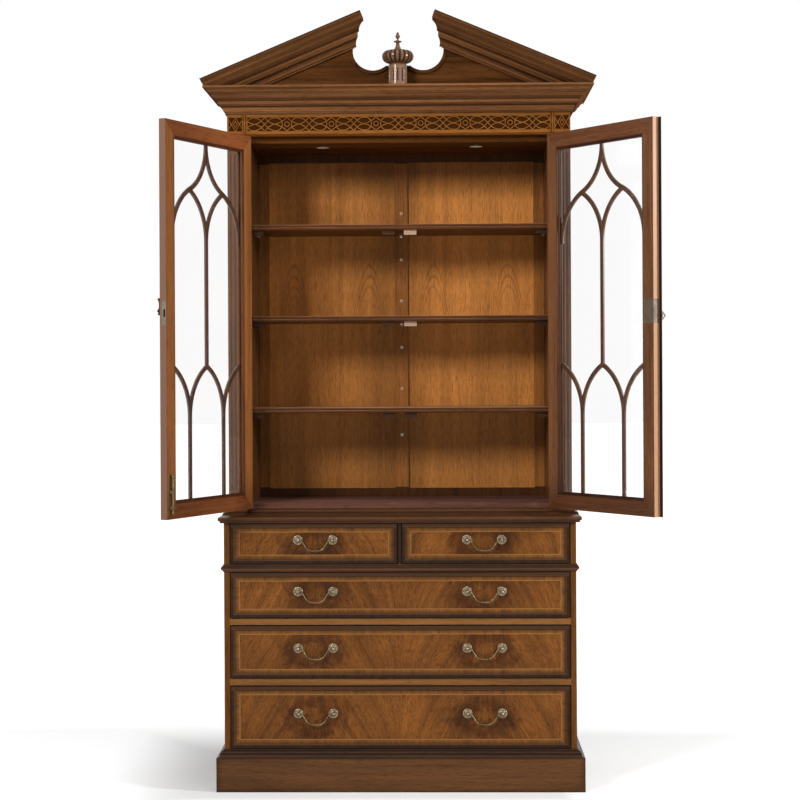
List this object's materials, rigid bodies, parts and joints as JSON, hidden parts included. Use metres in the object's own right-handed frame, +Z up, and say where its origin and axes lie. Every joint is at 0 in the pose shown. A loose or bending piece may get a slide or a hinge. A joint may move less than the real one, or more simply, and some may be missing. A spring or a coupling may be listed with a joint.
{
  "type": "display cabinet",
  "caption": "Two-stage wooden display cabinet: glazed doors with pointed tracery over shelves, a chest of drawers below and a broken pediment with an urn on top.",
  "frame": {"origin": "middle of the plinth's footprint, on the floor", "axes": "+Z up, +X to the viewer's right, the front faces -Y"},
  "size_m": [1.5073, 0.8097, 2.444],
  "materials": {
    "case_wood": "satin",
    "moulding_wood": "satin",
    "door_wood": "satin",
    "inside_wood": "satin",
    "back_panel_wood": "satin",
    "drawer_veneer": "satin",
    "drawer_lining": "matte",
    "fret_wood": "satin",
    "finial_wood": "gloss",
    "glass": "gloss",
    "brass": "satin",
    "lock_metal": "satin",
    "lamp_metal": "satin",
    "lamp_lens": "matte"
  },
  "bodies": {
    "cabinet": {"plinth_boards": "case_wood", "base_mouldings": "moulding_wood", "base_carcase": "case_wood", "drawer_rails": "case_wood", "base_top_board": "moulding_wood", "waist_moulding": "moulding_wood", "upper_sides": "case_wood", "side_linings": "inside_wood", "floor_and_top_boards": "inside_wood", "back_frame": "inside_wood", "back_panels": "back_panel_wood", "pilasters": "case_wood", "frieze_board": "case_wood", "frieze_fretwork": "fret_wood", "cornice": "moulding_wood", "raking_cornices": "moulding_wood", "tympanum": "case_wood", "finial": "finial_wood", "shelves": "inside_wood", "shelf_blocks": "inside_wood", "shelf_pins": "brass", "light_housings": "lamp_metal", "light_lenses": "lamp_lens", "case_fittings": "brass"},
    "left_door": {"left_door_frame": "door_wood", "left_door_tracery": "door_wood", "left_door_glass": "glass", "left_door_fittings": "brass"},
    "left_bolt": {"left_door_bolt": "brass"},
    "right_door": {"right_door_frame": "door_wood", "right_door_tracery": "door_wood", "right_door_glass": "glass", "right_door_lock": "lock_metal", "right_door_astragal": "door_wood"},
    "lock_bolt": {"right_door_lock_bolt": "brass"},
    "key": {"right_door_key": "brass"},
    "bottom_drawer": {"bottom_drawer_front": "drawer_veneer", "bottom_drawer_box": "drawer_lining", "bottom_drawer_pulls": "brass"},
    "bottom_drawer_left_bail": {"bottom_drawer_left_bail": "brass"},
    "bottom_drawer_right_bail": {"bottom_drawer_right_bail": "brass"},
    "middle_drawer": {"middle_drawer_front": "drawer_veneer", "middle_drawer_box": "drawer_lining", "middle_drawer_pulls": "brass"},
    "middle_drawer_left_bail": {"middle_drawer_left_bail": "brass"},
    "middle_drawer_right_bail": {"middle_drawer_right_bail": "brass"},
    "upper_drawer": {"upper_drawer_front": "drawer_veneer", "upper_drawer_box": "drawer_lining", "upper_drawer_pulls": "brass"},
    "upper_drawer_left_bail": {"upper_drawer_left_bail": "brass"},
    "upper_drawer_right_bail": {"upper_drawer_right_bail": "brass"},
    "short_drawer_left": {"short_drawer_left_front": "drawer_veneer", "short_drawer_left_box": "drawer_lining", "short_drawer_left_pulls": "brass"},
    "short_drawer_left_bail": {"short_drawer_left_bail": "brass"},
    "short_drawer_right": {"short_drawer_right_front": "drawer_veneer", "short_drawer_right_box": "drawer_lining", "short_drawer_right_pulls": "brass"},
    "short_drawer_right_bail": {"short_drawer_right_bail": "brass"}
  },
  "joints": [
    {"name": "left_door_hinge", "type": "hinge", "parent": "cabinet", "child": "left_door", "pos_m": [-0.49125, -0.1118, 1.465], "axis": [0, 0, -1], "range_deg": [-115, 55]},
    {"name": "right_door_hinge", "type": "hinge", "parent": "cabinet", "child": "right_door", "pos_m": [0.49125, -0.1118, 1.465], "axis": [0, 0, 1], "range_deg": [-126, 44]},
    {"name": "left_bolt_slide", "type": "slide", "parent": "left_door", "child": "left_bolt", "axis": [0, 0, -1], "range_m": [0, 0.014]},
    {"name": "key_turn", "type": "hinge", "parent": "right_door", "child": "key", "pos_m": [0.76355, -0.49306, 1.4705], "axis": [-0.809, -0.5878, 0], "range_deg": [0, 180]},
    {"name": "lock_bolt_throw", "type": "slide", "parent": "right_door", "child": "lock_bolt", "axis": [0.5878, -0.809, 0], "range_m": [0, 0.009]},
    {"name": "bottom_drawer_slide", "type": "slide", "parent": "cabinet", "child": "bottom_drawer", "axis": [0, -1, 0], "range_m": [0, 0.33]},
    {"name": "bottom_drawer_left_bail_swing", "type": "hinge", "parent": "bottom_drawer", "child": "bottom_drawer_left_bail", "pos_m": [-0.264, -0.232, 0.241], "axis": [-1, 0, 0], "range_deg": [0, 95]},
    {"name": "bottom_drawer_right_bail_swing", "type": "hinge", "parent": "bottom_drawer", "child": "bottom_drawer_right_bail", "pos_m": [0.264, -0.232, 0.241], "axis": [-1, 0, 0], "range_deg": [0, 95]},
    {"name": "middle_drawer_slide", "type": "slide", "parent": "cabinet", "child": "middle_drawer", "axis": [0, -1, 0], "range_m": [0, 0.33]},
    {"name": "middle_drawer_left_bail_swing", "type": "hinge", "parent": "middle_drawer", "child": "middle_drawer_left_bail", "pos_m": [-0.264, -0.232, 0.445], "axis": [-1, 0, 0], "range_deg": [0, 95]},
    {"name": "middle_drawer_right_bail_swing", "type": "hinge", "parent": "middle_drawer", "child": "middle_drawer_right_bail", "pos_m": [0.264, -0.232, 0.445], "axis": [-1, 0, 0], "range_deg": [0, 95]},
    {"name": "upper_drawer_slide", "type": "slide", "parent": "cabinet", "child": "upper_drawer", "axis": [0, -1, 0], "range_m": [0, 0.33]},
    {"name": "upper_drawer_left_bail_swing", "type": "hinge", "parent": "upper_drawer", "child": "upper_drawer_left_bail", "pos_m": [-0.264, -0.232, 0.622], "axis": [-1, 0, 0], "range_deg": [0, 95]},
    {"name": "upper_drawer_right_bail_swing", "type": "hinge", "parent": "upper_drawer", "child": "upper_drawer_right_bail", "pos_m": [0.264, -0.232, 0.622], "axis": [-1, 0, 0], "range_deg": [0, 95]},
    {"name": "short_drawer_left_slide", "type": "slide", "parent": "cabinet", "child": "short_drawer_left", "axis": [0, -1, 0], "range_m": [0, 0.33]},
    {"name": "short_drawer_left_bail_swing", "type": "hinge", "parent": "short_drawer_left", "child": "short_drawer_left_bail", "pos_m": [-0.264, -0.232, 0.783], "axis": [-1, 0, 0], "range_deg": [0, 95]},
    {"name": "short_drawer_right_slide", "type": "slide", "parent": "cabinet", "child": "short_drawer_right", "axis": [0, -1, 0], "range_m": [0, 0.33]},
    {"name": "short_drawer_right_bail_swing", "type": "hinge", "parent": "short_drawer_right", "child": "short_drawer_right_bail", "pos_m": [0.264, -0.232, 0.783], "axis": [-1, 0, 0], "range_deg": [0, 95]}
  ],
  "couplings": [
    {"joint": "key_turn", "follows": "lock_bolt_throw", "rad_per_m": 349}
  ]
}
